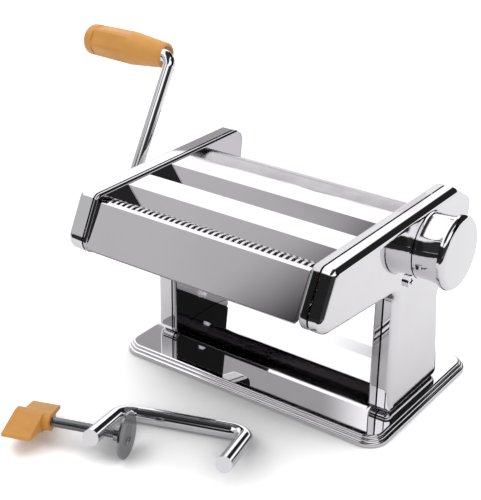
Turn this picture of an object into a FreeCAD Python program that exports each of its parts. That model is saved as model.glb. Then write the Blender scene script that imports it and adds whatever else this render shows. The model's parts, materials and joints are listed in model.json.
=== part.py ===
import FreeCAD, Part
import math
import os
import Sketcher

# Hand-cranked pasta roller machine with two noodle cutters and a loose table clamp.
# Millimetres. Origin: middle of the base at table level. X runs along the rollers towards
# the knob, the noodles leave on the -Y side, and Z is up.

DOC = FreeCAD.newDocument("pasta_machine")
SHEET = DOC.addObject("Spreadsheet::Sheet", "Sizes")

# Driving sizes, one cell each
SIZES = {
    # base tray
    "base_margin": 8.5, "base_depth": 124.0, "base_corner": 13.0, "base_sheet": 0.8,
    "tray_clear": 0.5, "rim_height": 2.7, "step_height": 1.8, "crown_height": 1.7,
    "rim_step": 1.6, "crown_step": 1.5, "tray_round": 1.2,
    "hump_foot_y": 34.0, "hump_crest_y": 13.0, "hump_rise": 5.0, "hump_round": 5.0, "hump_clear": 0.4,
    "foot_radius": 7.0, "foot_inset": 14.0,
    # side frames and covers
    "inner_half": 75.0, "plate_wall": 1.2, "cover_wall": 1.0, "cover_depth": 15.5,
    "left_flange": 2.2, "right_flange": 5.4, "seam_gap": 1.2, "cover_round": 4.4, "plate_round": 1.7,
    "side_top": 134.4, "front_top_y": -104.0, "front_low_y": -121.5, "front_low_z": 99.8,
    "notch_y": -33.0, "notch_z": 92.2, "leg_front_y": -33.0, "leg_back_y": 30.2, "leg_top_y": 21.0,
    "rear_low_z": 84.0, "leg_top_z": 74.0, "rear_y": 57.0, "rear_top_z": 122.0, "chamfer_y": 36.0,
    "corner_front": 5.0, "corner_chin": 9.0, "corner_notch": 9.0, "corner_foot": 5.2,
    # smooth rollers
    "roller_diameter": 30.0, "roller_gap": 2.7, "roller_slant": 32.0, "roller_y": 3.0, "roller_z": 115.1,
    "end_gap": 0.3, "journal_radius": 4.5, "socket_journal": 6.0, "gear_width": 6.0,
    "gear_teeth": 12.0, "gear_pitch_radius": 15.3, "gear_addendum": 1.9, "gear_dedendum": 2.7,
    "tooth_tip": 1.4, "tooth_root": 3.4, "mesh_lead": 6.5,
    # cutters
    "cutter_radius": 10.0, "cutter_mesh": 18.6, "cutter_slant": 30.0, "groove_depth": 2.6,
    "wide_driver_y": -42.0, "wide_driver_z": 106.0, "thin_driver_y": -80.0, "thin_driver_z": 110.4,
    "wide_pitch": 13.0, "wide_disc": 6.2, "thin_pitch": 4.0, "thin_disc": 1.7,
    "cutter_gear_teeth": 8.0, "cutter_gear_radius": 9.3, "cutter_addendum": 1.7, "cutter_dedendum": 2.3,
    "cutter_tooth_tip": 1.5, "cutter_tooth_root": 3.4,
    # bushes and fits
    "running_clearance": 0.05, "seat_clearance": 0.02, "bush_wall": 2.0, "bush_length": 4.0,
    "loose_clearance": 0.3,
    # crank sockets
    "socket_radius": 4.05, "socket_depth": 15.0, "cover_hole": 7.0,
    # thin sheet pieces
    "sheet": 1.0, "bend_round": 0.8,
    "front_plate_half": 73.4, "plate_top_y": -103.2, "plate_top_z": 130.2,
    "plate_low_y": -118.0, "plate_low_z": 103.8, "plate_lip": 3.0, "plate_hem": 4.0, "ear_setback": 0.5,
    "guard_top_z": 133.0, "middle_front_y": -77.0, "middle_rear_y": -57.0, "face_drop": 10.5, "face_lean": 5.9,
    "rear_guard_front_y": -35.0, "rear_guard_rear_y": -16.0, "guard_hem": 3.5,
    "feed_lip": 7.1, "feed_drop": 3.6,
    "hopper_low_y": 25.0, "hopper_low_z": 117.8, "hopper_ridge_y": 41.0, "hopper_ridge_z": 131.8,
    "apron_y": 55.3, "apron_top_z": 122.4, "apron_low_z": 92.0,
    # gap adjuster
    "pivot_y": -22.4, "pivot_z": 95.9, "pivot_radius": 4.0, "rocker_thickness": 3.0, "rocker_gap": 0.4,
    "knob_turn": 270.0, "knob_y": 1.0, "knob_z": 110.2,
    "follower_reach": 12.0, "follower_radius": 2.5, "cam_width": 3.6, "cam_rise": 2.3,
    "spindle_radius": 5.0, "spindle_neck": 3.5, "clip_radius": 5.6,
    "knob_lip_radius": 21.3, "knob_lip": 1.2, "knob_base_radius": 20.5, "knob_waist": 22.3,
    "knob_rim_radius": 23.2, "knob_length": 21.0, "rim_width": 5.0, "rim_round": 3.5, "rim_groove": 0.5,
    "knob_flare": 33.6, "knob_gap": 0.4, "knob_pull": 4.0, "knob_shell": 2.4, "hub_setback": 4.0,
    "hub_thickness": 3.0, "spring_room": 3.0, "clip_thickness": 1.0, "spring_step": 0.4,
    # rods and screws
    "rod_radius": 4.0, "rear_rod_y": 49.5, "rear_rod_z": 112.0, "front_rod_y": -106.0, "front_rod_z": 104.6,
    "screw_radius": 2.0, "screw_head": 3.9, "head_height": 2.2, "screw_bite": 12.0,
    "thread_runout": 1.0, "base_screw_y": 19.0, "base_screw_inset": 7.2, "base_screw_radius": 1.5,
    "base_screw_head": 3.0, "nut_height": 2.4, "nut_flats": 5.5,
    # crank
    "crank_rod": 4.0, "crank_bend": 7.0, "arm_length": 93.7, "arm_lean": 30.0, "arm_offset": 15.3,
    "grip_length": 65.7, "grip_arm_radius": 8.3, "grip_belly_radius": 11.0,
    "grip_end_radius": 10.4, "grip_belly": 27.0, "grip_cap": 7.0, "grip_bore": 4.08, "grip_mouth": 6.6,
    "grip_wall": 6.0, "grip_lip": 0.8, "facet_depth": 1.0, "facet_width": 8.5, "facet_count": 6.0,
    "facet_margin": 1.0, "tip_clearance": 1.0, "key_setback": 1.0,
    # clamp
    "clamp_rod": 5.0, "clamp_span": 81.1, "clamp_bend": 11.3, "long_arm": 50.0, "short_arm": 52.8,
    "screw_reach": 36.6, "clamp_x": -45.4, "clamp_y": -123.0, "clamp_yaw": 19.2, "clamp_tilt": 14.3,
    "thread_radius": 3.0, "thread_pitch": 1.0, "thread_depth": 0.5, "ridge_root": 0.3,
    "disc_radius": 14.0, "disc_offset": 17.8, "disc_sheet": 1.4, "dish_radius": 6.6, "dish_depth": 2.2,
    "disc_floor": 1.0, "disc_socket": 4.0, "disc_wall": 1.4,
    "wing_offset": 34.5, "wing_width": 18.0, "wing_reach": 21.5, "wing_thick": 2.3, "wing_hub": 5.6,
    "wing_front_z": 1.0, "wing_rear_z": -2.7, "wing_collar": 4.5, "wing_floor": 2.0, "wing_round": 0.9,
    # clamp socket in the left leg
    "clamp_hole_radius": 5.2, "clamp_socket_wall": 1.6,
    "clamp_socket_y": -2.5, "clamp_socket_z": 27.5,
}


class Size:
    """A cell of the sheet, or a sum of cells, with its value and its expression."""

    def __init__(self, value, text):
        self.value = value
        self.text = text

    def joined(self, sign, other, value):
        return Size(value, "({} {} {})".format(self.text, sign, other.text))

    def __add__(self, other):
        other = as_size(other)
        return self.joined("+", other, self.value + other.value)

    def __sub__(self, other):
        other = as_size(other)
        return self.joined("-", other, self.value - other.value)

    def __mul__(self, other):
        other = as_size(other)
        return self.joined("*", other, self.value * other.value)

    def __truediv__(self, other):
        other = as_size(other)
        return self.joined("/", other, self.value / other.value)

    def __radd__(self, other):
        return as_size(other) + self

    def __rsub__(self, other):
        return as_size(other) - self

    def __rmul__(self, other):
        return as_size(other) * self

    def __neg__(self):
        return as_size(0.0) - self


def as_size(thing):
    if isinstance(thing, Size):
        return thing
    return Size(float(thing), "({})".format(float(thing)))


def sine(angle):
    return Size(math.sin(math.radians(angle.value)), "sin({})".format(angle.text))


def cosine(angle):
    return Size(math.cos(math.radians(angle.value)), "cos({})".format(angle.text))


def root(size):
    size = as_size(size)
    return Size(math.sqrt(size.value), "sqrt({})".format(size.text))


def whole(size):
    return Size(math.floor(size.value), "floor({})".format(size.text))


class Sizes:
    """The sheet's cells as attributes."""


def fill_sheet():
    sizes = Sizes()
    for row, (name, value) in enumerate(SIZES.items(), start=1):
        cell = "B{}".format(row)
        SHEET.set("A{}".format(row), name)
        SHEET.set(cell, str(value))
        SHEET.setAlias(cell, name)
        setattr(sizes, name, Size(value, "Sizes.{}".format(name)))
    DOC.recompute()
    return sizes


S = fill_sheet()
ZERO = as_size(0.0)
PIECES = []
ROTATIONS = {
    "X": FreeCAD.Rotation(FreeCAD.Vector(0, 1, 0), 90),
    "Y": FreeCAD.Rotation(FreeCAD.Vector(1, 0, 0), -90),
    "Z": FreeCAD.Rotation(),
}


def bind(thing, prop, size):
    thing.setExpression(prop, as_size(size).text)


def place(thing, x=ZERO, y=ZERO, z=ZERO):
    for axis, size in zip("xyz", (x, y, z)):
        bind(thing, "Placement.Base." + axis, size)


def piece(thing, label):
    thing.Label = label
    PIECES.append(thing)
    return thing


# Solids from primitives

def cylinder(name, radius, length, x=ZERO, y=ZERO, z=ZERO, axis="X"):
    solid = DOC.addObject("Part::Cylinder", name)
    solid.Placement = FreeCAD.Placement(FreeCAD.Vector(), ROTATIONS[axis])
    bind(solid, "Radius", radius)
    bind(solid, "Height", length)
    place(solid, x, y, z)
    return solid


def block(name, length, width, height, x=ZERO, y=ZERO, z=ZERO):
    solid = DOC.addObject("Part::Box", name)
    bind(solid, "Length", length)
    bind(solid, "Width", width)
    bind(solid, "Height", height)
    place(solid, x, y, z)
    return solid


def fuse(name, solids):
    joined = DOC.addObject("Part::MultiFuse", name)
    joined.Shapes = solids
    return joined


def cut(name, base, tools):
    tool = tools[0] if len(tools) == 1 else fuse(name + "_tools", tools)
    rest = DOC.addObject("Part::Cut", name)
    rest.Base = base
    rest.Tool = tool
    return rest


def group(label, solids):
    bundle = DOC.addObject("Part::Compound", label)
    bundle.Links = solids
    return piece(bundle, label)


# Sketches and features of a body

def new_body(label):
    body = DOC.addObject("PartDesign::Body", label)
    return piece(body, label)


def new_sketch(body, name, role, offset=None):
    sketch = body.newObject("Sketcher::SketchObject", name)
    for feature in body.Origin.OriginFeatures:
        if feature.Role == role:
            sketch.AttachmentSupport = [(feature, "")]
    sketch.MapMode = "FlatFace"
    if offset is not None:
        bind(sketch, "AttachmentOffset.Base.z", offset)
    return sketch


def pin_point(sketch, index, end, u, v):
    for kind, size, axis in (("DistanceX", u, -2), ("DistanceY", v, -1)):
        size = as_size(size)
        if abs(size.value) < 1e-9:
            sketch.addConstraint(Sketcher.Constraint("PointOnObject", index, end, axis))
        else:
            number = sketch.addConstraint(Sketcher.Constraint(kind, -1, 1, index, end, size.value))
            sketch.setExpression("Constraints[{}]".format(number), size.text)


def arc_between(start, end, radius, left):
    """Counter-clockwise arc of the given radius from start to end, its centre on the named side."""
    chord = end - start
    middle = (start + end) * 0.5
    rise = math.sqrt(max(radius ** 2 - (chord.Length / 2) ** 2, 0.0))
    across = FreeCAD.Vector(-chord.y, chord.x, 0).normalize()
    centre = middle + across * (rise if left else -rise)
    first, second = (start, end) if left else (end, start)
    low = math.atan2(first.y - centre.y, first.x - centre.x)
    high = math.atan2(second.y - centre.y, second.x - centre.x)
    circle = Part.Circle(centre, FreeCAD.Vector(0, 0, 1), radius)
    return Part.ArcOfCircle(circle, low, high)


def draw_outline(sketch, points, arcs=None, closed=True):
    """Lines from point to point. arcs names the sides that are round: index to (radius, left)."""
    arcs = arcs or {}
    spots = [FreeCAD.Vector(as_size(u).value, as_size(v).value, 0) for u, v in points]
    sides = len(points) if closed else len(points) - 1
    ends = []
    for index in range(sides):
        start = spots[index]
        finish = spots[(index + 1) % len(spots)]
        if index in arcs:
            radius, left = arcs[index]
            sketch.addGeometry(arc_between(start, finish, radius.value, left), False)
            ends.append((1, 2) if left else (2, 1))
        else:
            sketch.addGeometry(Part.LineSegment(start, finish), False)
            ends.append((1, 2))
    for index in range(sides if closed else sides - 1):
        after = (index + 1) % sides
        sketch.addConstraint(Sketcher.Constraint("Coincident", index, ends[index][1], after, ends[after][0]))
    for index in range(sides):
        pin_point(sketch, index, ends[index][0], *points[index])
        if index in arcs:
            radius = arcs[index][0]
            number = sketch.addConstraint(Sketcher.Constraint("Radius", index, radius.value))
            sketch.setExpression("Constraints[{}]".format(number), radius.text)
    if not closed:
        pin_point(sketch, sides - 1, ends[-1][1], *points[-1])
    return sketch


def draw_circle(sketch, radius, u=ZERO, v=ZERO):
    radius = as_size(radius)
    centre = FreeCAD.Vector(as_size(u).value, as_size(v).value, 0)
    index = sketch.addGeometry(Part.Circle(centre, FreeCAD.Vector(0, 0, 1), radius.value), False)
    pin_point(sketch, index, 3, u, v)
    number = sketch.addConstraint(Sketcher.Constraint("Radius", index, radius.value))
    sketch.setExpression("Constraints[{}]".format(number), radius.text)
    return sketch


def pad(body, sketch, length, reverse=False, both=False):
    feature = body.newObject("PartDesign::Pad", sketch.Name + "_pad")
    feature.Profile = sketch
    bind(feature, "Length", length)
    feature.Reversed = reverse
    if both:
        feature.SideType = "Symmetric"
    return feature


def drill(body, sketch, length=None):
    """A pocket both ways from its sketch: right through, or over the given length."""
    feature = body.newObject("PartDesign::Pocket", sketch.Name + "_pocket")
    feature.Profile = sketch
    if length is None:
        feature.Type = "ThroughAll"
    else:
        bind(feature, "Length", length)
    feature.SideType = "Symmetric"
    return feature


def revolve(body, sketch, axis="H_Axis"):
    feature = body.newObject("PartDesign::Revolution", sketch.Name + "_turn")
    feature.Profile = sketch
    feature.ReferenceAxis = (sketch, [axis])
    feature.Angle = 360
    return feature


def edges_where(feature, test):
    DOC.recompute()
    names = []
    for number, edge in enumerate(feature.Shape.Edges, start=1):
        if test(edge):
            names.append("Edge{}".format(number))
    if not names:
        raise RuntimeError("no edge found on " + feature.Name)
    return names


def faces_where(feature, test):
    DOC.recompute()
    names = []
    for number, face in enumerate(feature.Shape.Faces, start=1):
        if test(face):
            names.append("Face{}".format(number))
    if not names:
        raise RuntimeError("no face found on " + feature.Name)
    return names


def round_edges(body, feature, test, radius):
    names = edges_where(feature, test)
    fillet = body.newObject("PartDesign::Fillet", feature.Name + "_round")
    fillet.Base = (feature, names)
    bind(fillet, "Radius", radius)
    return fillet


def hollow(body, feature, test, wall):
    shell = body.newObject("PartDesign::Thickness", feature.Name + "_shell")
    shell.Base = (feature, faces_where(feature, test))
    bind(shell, "Value", wall)
    shell.Reversed = True
    shell.Mode = "Skin"
    shell.Join = "Intersection"
    return shell


def is_near(value, size, slack=1e-4):
    return abs(value - as_size(size).value) < slack


def edge_along_x_at(y, z):
    def test(edge):
        ends = [vertex.Point for vertex in edge.Vertexes]
        return len(ends) == 2 and all(is_near(p.y, y) and is_near(p.z, z) for p in ends)
    return test


def flat_at(axis, size):
    def test(shape):
        box = shape.BoundBox
        low = getattr(box, axis + "Min")
        high = getattr(box, axis + "Max")
        return is_near(low, size) and is_near(high, size)
    return test


# Places worked out from the driving sizes

COVER_HALF = S.inner_half + S.cover_depth
BASE_HALF = COVER_HALF + S.base_margin
BASE_SCREW_X = COVER_HALF - S.base_screw_inset
BASE_SCREW_HOLE = S.base_screw_radius + S.running_clearance
BASE_TOP = S.tray_clear + S.rim_height + S.step_height + S.crown_height
ROLLER_RADIUS = S.roller_diameter / 2
DRIVE_Y = S.roller_y + (S.roller_diameter + S.roller_gap) * cosine(S.roller_slant)
DRIVE_Z = S.roller_z - (S.roller_diameter + S.roller_gap) * sine(S.roller_slant)
MESH_Y = S.cutter_mesh * cosine(S.cutter_slant)
MESH_Z = S.cutter_mesh * sine(S.cutter_slant)
WIDE_Y = S.wide_driver_y - MESH_Y
WIDE_Z = S.wide_driver_z + MESH_Z
THIN_Y = S.thin_driver_y - MESH_Y
THIN_Z = S.thin_driver_z + MESH_Z
BUSH_END = S.inner_half + S.bush_length
JOURNAL_BUSH = S.journal_radius + S.running_clearance + S.bush_wall
SOCKET_BUSH = S.socket_journal + S.running_clearance + S.bush_wall
SOCKET_END = COVER_HALF - S.cover_wall - S.loose_clearance
ROCKER_X = S.inner_half + S.plate_wall + S.rocker_gap
ROCKER_END = ROCKER_X + S.rocker_thickness
GEAR_X = ROCKER_END + S.rocker_gap
LEFT_SEAM = S.inner_half + S.left_flange
RIGHT_SEAM = S.inner_half + S.right_flange
SIDE_OUTLINE = [
    (S.front_top_y, S.side_top, S.corner_front),
    (S.chamfer_y, S.side_top, S.corner_front),
    (S.rear_y, S.rear_top_z, S.corner_front),
    (S.rear_y, S.rear_low_z, S.corner_chin),
    (S.leg_top_y, S.leg_top_z, S.corner_chin),
    (S.leg_back_y, BASE_TOP, S.corner_foot),
    (S.leg_front_y, BASE_TOP, S.corner_foot),
    (S.notch_y, S.notch_z, S.corner_notch),
    (S.front_low_y, S.front_low_z, S.corner_chin),
]


def at_any(spots):
    tests = [edge_along_x_at(y, z) for y, z in spots]

    def test(edge):
        return any(check(edge) for check in tests)
    return test


# Base

def make_base():
    body = new_body("base_tray")
    half_x = BASE_HALF
    half_y = S.base_depth / 2
    levels = [
        ("rim", ZERO, S.tray_clear, S.rim_height),
        ("step", S.rim_step, S.tray_clear + S.rim_height, S.step_height),
        ("crown", S.rim_step + S.crown_step, S.tray_clear + S.rim_height + S.step_height, S.crown_height),
    ]
    feature = None
    for name, inset, low, height in levels:
        x = half_x - inset
        y = half_y - inset
        sketch = new_sketch(body, name, "XY_Plane", low)
        radius = S.base_corner - inset
        points = [
            (radius - x, -y), (x - radius, -y), (x, radius - y), (x, y - radius),
            (x - radius, y), (radius - x, y), (-x, y - radius), (-x, radius - y),
        ]
        draw_outline(sketch, points, {side: (radius, True) for side in (1, 3, 5, 7)})
        feature = pad(body, sketch, height)
    hump = new_sketch(body, "hump", "YZ_Plane")
    crest_z = BASE_TOP + S.hump_rise
    crests = [(S.hump_crest_y, crest_z), (-S.hump_crest_y, crest_z)]
    draw_outline(hump, [(-S.hump_foot_y, BASE_TOP), (S.hump_foot_y, BASE_TOP)] + crests)
    feature = pad(body, hump, (S.inner_half - S.hump_clear) * 2, both=True)
    feature = round_edges(body, feature, at_any(crests), S.hump_round)
    tops = [low.value + height.value for name, inset, low, height in levels]

    def top_edge(edge):
        box = edge.BoundBox
        return any(is_near(box.ZMin, top) and is_near(box.ZMax, top) for top in tops)

    def outer_edge(edge):
        box = edge.BoundBox
        far = max(abs(box.XMin), abs(box.XMax)), max(abs(box.YMin), abs(box.YMax))
        for level, top in zip(levels, tops):
            x = half_x.value - level[1].value
            y = half_y.value - level[1].value
            if is_near(box.ZMax, top) and (is_near(far[0], x) or is_near(far[1], y)):
                return top_edge(edge)
        return False

    feature = round_edges(body, feature, outer_edge, S.tray_round)
    feature = hollow(body, feature, flat_at("Z", S.tray_clear), S.base_sheet)
    holes = new_sketch(body, "base_screw_holes", "XY_Plane")
    for side in (-1, 1):
        for end in (-1, 1):
            draw_circle(holes, BASE_SCREW_HOLE, BASE_SCREW_X * side, S.base_screw_y * end)
    drill(body, holes)


def make_feet():
    feet = []
    x = BASE_HALF - S.foot_inset
    y = S.base_depth / 2 - S.foot_inset
    for side in (-1, 1):
        for end in (-1, 1):
            name = "foot_{}_{}".format(side + 1, end + 1)
            feet.append(cylinder(name, S.foot_radius, BASE_TOP - S.base_sheet, x * side, y * end, ZERO, "Z"))
    group("rubber_feet", feet)


def hexagon_nut(name, x, y, z):
    prism = DOC.addObject("Part::Prism", name)
    prism.Polygon = 6
    bind(prism, "Circumradius", S.nut_flats / root(3))
    bind(prism, "Height", S.nut_height)
    flats_across = FreeCAD.Rotation(FreeCAD.Vector(0, 0, 1), 30)
    prism.Placement = FreeCAD.Placement(FreeCAD.Vector(), flats_across)
    place(prism, x, y, z)
    bore = cylinder(name + "_bore", S.base_screw_radius + S.seat_clearance, S.nut_height, x, y, z, "Z")
    return cut(name + "_cut", prism, [bore])


def make_base_fixings():
    screws = []
    nuts = []
    under = BASE_TOP - S.base_sheet
    over = BASE_TOP + S.cover_wall
    for side in (-1, 1):
        for end in (-1, 1):
            name = "base_screw_{}_{}".format(side + 1, end + 1)
            x = BASE_SCREW_X * side
            y = S.base_screw_y * end
            head = cylinder(name + "_head", S.base_screw_head, S.head_height, x, y, under - S.head_height, "Z")
            shank_length = S.base_sheet + S.cover_wall + S.nut_height + S.thread_runout
            shank = cylinder(name + "_shank", S.base_screw_radius, shank_length, x, y, under, "Z")
            screws.append(fuse(name, [head, shank]))
            nuts.append(hexagon_nut("base_nut_{}_{}".format(side + 1, end + 1), x, y, over))
    group("base_screws", screws)
    group("base_nuts", nuts)


# Side frames and covers

def make_dish(label, face_x, rim_x, wall, edge_round):
    """A pressed side panel: flat face at face_x, flange turned to rim_x."""
    body = new_body(label)
    sketch = new_sketch(body, label + "_outline", "YZ_Plane", face_x)
    draw_outline(sketch, [(y, z) for y, z, corner in SIDE_OUTLINE])
    outward = rim_x.value > face_x.value
    depth = rim_x - face_x if outward else face_x - rim_x
    feature = pad(body, sketch, depth, reverse=not outward)
    for radius in (S.corner_front, S.corner_foot, S.corner_chin, S.corner_notch):
        spots = [(y, z) for y, z, corner in SIDE_OUTLINE if corner is radius]
        feature = round_edges(body, feature, at_any(spots), radius)
    feature = round_edges(body, feature, flat_at("X", face_x), edge_round)
    hollow(body, feature, flat_at("X", rim_x), wall)
    return body


def drill_side(body, holes):
    sketch = new_sketch(body, body.Label + "_holes", "YZ_Plane")
    for radius, y, z in holes:
        draw_circle(sketch, radius, y, z)
    drill(body, sketch)


def make_sides():
    swing_room = S.journal_radius + S.roller_gap + S.end_gap * 3
    journal_hole = JOURNAL_BUSH + S.seat_clearance
    socket_hole = SOCKET_BUSH + S.seat_clearance
    screw_hole = S.screw_radius + S.running_clearance
    clamp_hole = S.clamp_hole_radius + S.clamp_socket_wall + S.seat_clearance
    rods = [
        (screw_hole, S.pivot_y, S.pivot_z),
        (screw_hole, S.rear_rod_y, S.rear_rod_z),
        (screw_hole, S.front_rod_y, S.front_rod_z),
    ]
    swing = (swing_room, S.roller_y + S.roller_gap / 4, S.roller_z - S.roller_gap / 3)
    followers = [(journal_hole, WIDE_Y, WIDE_Z), (journal_hole, THIN_Y, THIN_Z)]
    drivers = [
        (DRIVE_Y, DRIVE_Z),
        (S.wide_driver_y, S.wide_driver_z),
        (S.thin_driver_y, S.thin_driver_z),
    ]
    left = make_dish("left_frame_plate", -S.inner_half, -LEFT_SEAM, S.plate_wall, S.plate_round)
    clamp_spot = (clamp_hole, S.clamp_socket_y, S.clamp_socket_z)
    drill_side(left, rods + followers + [swing, clamp_spot] + [(socket_hole, y, z) for y, z in drivers])
    right = make_dish("right_frame_plate", S.inner_half, RIGHT_SEAM, S.plate_wall, S.plate_round)
    drill_side(right, rods + followers + [swing] + [(journal_hole, y, z) for y, z in drivers])
    left = make_dish("left_cover", -COVER_HALF, -LEFT_SEAM - S.seam_gap, S.cover_wall, S.cover_round)
    openings = [(S.cover_hole, y, z) for y, z in drivers]
    drill_side(left, openings + [(screw_hole, S.pivot_y, S.pivot_z), clamp_spot])
    drill_foot_holes(left, -1)
    right = make_dish("right_cover", COVER_HALF, RIGHT_SEAM + S.seam_gap, S.cover_wall, S.cover_round)
    knob_hole = S.spindle_radius + S.running_clearance + S.bush_wall + S.seat_clearance
    drill_side(right, [(knob_hole, S.knob_y, S.knob_z), (screw_hole, S.pivot_y, S.pivot_z)])
    drill_foot_holes(right, 1)


def drill_foot_holes(body, side):
    sketch = new_sketch(body, body.Label + "_foot_holes", "XY_Plane", BASE_TOP)
    for end in (-1, 1):
        draw_circle(sketch, BASE_SCREW_HOLE, BASE_SCREW_X * side, S.base_screw_y * end)
    drill(body, sketch, S.cover_wall * 4)


def tube(name, outer, inner, length, x, y, z):
    sleeve = cylinder(name + "_outer", outer, length, x, y, z)
    bore = cylinder(name + "_bore", inner, length, x, y, z)
    return cut(name, sleeve, [bore])


def make_bushes():
    small = []
    large = []
    bore = S.journal_radius + S.running_clearance
    big_bore = S.socket_journal + S.running_clearance
    for name, y, z in (("wide", WIDE_Y, WIDE_Z), ("thin", THIN_Y, THIN_Z)):
        small.append(tube(name + "_left_bush", JOURNAL_BUSH, bore, S.bush_length, -BUSH_END, y, z))
        small.append(tube(name + "_right_bush", JOURNAL_BUSH, bore, S.bush_length, S.inner_half, y, z))
    drivers = (
        ("roller", DRIVE_Y, DRIVE_Z),
        ("wide_drive", S.wide_driver_y, S.wide_driver_z),
        ("thin_drive", S.thin_driver_y, S.thin_driver_z),
    )
    for name, y, z in drivers:
        small.append(tube(name + "_right_bush", JOURNAL_BUSH, bore, S.bush_length, S.inner_half, y, z))
        large.append(tube(name + "_socket_bush", SOCKET_BUSH, big_bore, S.bush_length, -BUSH_END, y, z))
    group("shaft_bushes", small)
    group("socket_bushes", large)
    clamp_outer = S.clamp_hole_radius + S.clamp_socket_wall
    length = COVER_HALF - S.inner_half
    spot = (-COVER_HALF, S.clamp_socket_y, S.clamp_socket_z)
    socket = tube("clamp_tube", clamp_outer, S.clamp_hole_radius, length, *spot)
    piece(socket, "clamp_socket")


# Rods that hold the two sides together

def tapped_rod(name, y, z, radius):
    rod = cylinder(name + "_bar", radius, S.inner_half * 2, -S.inner_half, y, z)
    bore = S.screw_radius + S.seat_clearance
    depth = S.screw_bite + S.thread_runout
    left = cylinder(name + "_left_tap", bore, depth, -S.inner_half, y, z)
    right = cylinder(name + "_right_tap", bore, depth, S.inner_half - depth, y, z)
    return cut(name, rod, [left, right])


def screw_at(name, seat_x, side, y, z, bite):
    """A screw along X: head outside seat_x, shank reaching inwards by bite."""
    if side > 0:
        head = cylinder(name + "_head", S.screw_head, S.head_height, seat_x, y, z)
        shank = cylinder(name + "_shank", S.screw_radius, bite, seat_x - bite, y, z)
    else:
        head = cylinder(name + "_head", S.screw_head, S.head_height, -seat_x - S.head_height, y, z)
        shank = cylinder(name + "_shank", S.screw_radius, bite, -seat_x, y, z)
    return fuse(name, [head, shank])


def cross_recess(name, seat_x, side, y, z):
    """Two crossed slots that sink into a screw head."""
    depth = S.head_height * 0.6
    width = S.screw_head * 0.28
    length = S.screw_head * 1.1
    x = seat_x + S.head_height - depth if side > 0 else -seat_x - S.head_height
    upright = block(name + "_upright", depth, width, length, x, y - width / 2, z - length / 2)
    level = block(name + "_level", depth, length, width, x, y - length / 2, z - width / 2)
    return [upright, level]


def make_rods():
    rods = [
        tapped_rod("rear_rod", S.rear_rod_y, S.rear_rod_z, S.rod_radius),
        tapped_rod("front_rod", S.front_rod_y, S.front_rod_z, S.rod_radius),
    ]
    group("tie_rods", rods)
    piece(tapped_rod("rocker_rod", S.pivot_y, S.pivot_z, S.rod_radius), "pivot_rod")
    screws = []
    seat = S.inner_half + S.plate_wall
    for side in (-1, 1):
        bite = S.plate_wall + S.screw_bite
        for name, y, z in (("rear", S.rear_rod_y, S.rear_rod_z), ("front", S.front_rod_y, S.front_rod_z)):
            screws.append(screw_at("{}_rod_screw_{}".format(name, side + 1), seat, side, y, z, bite))
    group("tie_rod_screws", screws)
    sleeves = []
    cover_screws = []
    inner = COVER_HALF - S.cover_wall
    for side in (-1, 1):
        start = seat if side > 0 else -inner
        name = "pivot_sleeve_{}".format(side + 1)
        bore = S.screw_radius + S.running_clearance
        sleeves.append(tube(name, S.pivot_radius, bore, inner - seat, start, S.pivot_y, S.pivot_z))
        bite = COVER_HALF - S.inner_half + S.screw_bite
        name = "cover_screw_{}".format(side + 1)
        plain = screw_at(name + "_plain", COVER_HALF, side, S.pivot_y, S.pivot_z, bite)
        recess = cross_recess(name, COVER_HALF, side, S.pivot_y, S.pivot_z)
        cover_screws.append(cut(name, plain, recess))
    group("pivot_sleeves", sleeves)
    group("cover_screws", cover_screws)


# Bent sheet pieces between the sides

def bent_sheet(label, points, half_length):
    """A folded sheet: an open line of (y, z) points given its thickness and run along X."""
    line = DOC.addObject("Sketcher::SketchObject", label + "_line")
    line.Placement = FreeCAD.Placement(FreeCAD.Vector(), FreeCAD.Rotation(FreeCAD.Vector(1, 1, 1), 120))
    draw_outline(line, points, closed=False)
    skin = DOC.addObject("Part::Offset2D", label + "_skin")
    skin.Source = line
    bind(skin, "Value", S.sheet)
    skin.Mode = "Skin"
    skin.Join = "Intersection"
    skin.Fill = True
    run = DOC.addObject("Part::Extrusion", label + "_run")
    run.Base = skin
    run.DirMode = "Custom"
    run.Dir = FreeCAD.Vector(1, 0, 0)
    bind(run, "LengthFwd", half_length * 2)
    run.Symmetric = True
    run.Solid = True
    DOC.recompute()
    tips = [FreeCAD.Vector(0, as_size(y).value, as_size(z).value) for y, z in (points[0], points[-1])]
    tip_room = 1.01 * S.sheet.value
    folds = []
    for number, edge in enumerate(run.Shape.Edges, start=1):
        middle = FreeCAD.Vector(0, edge.CenterOfMass.y, edge.CenterOfMass.z)
        long_way = edge.BoundBox.XLength > half_length.value
        if long_way and all((middle - tip).Length > tip_room for tip in tips):
            folds.append((number, S.bend_round.value, S.bend_round.value))
    rounded = DOC.addObject("Part::Fillet", label + "_folds")
    rounded.Base = run
    rounded.Edges = folds
    return rounded


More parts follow.
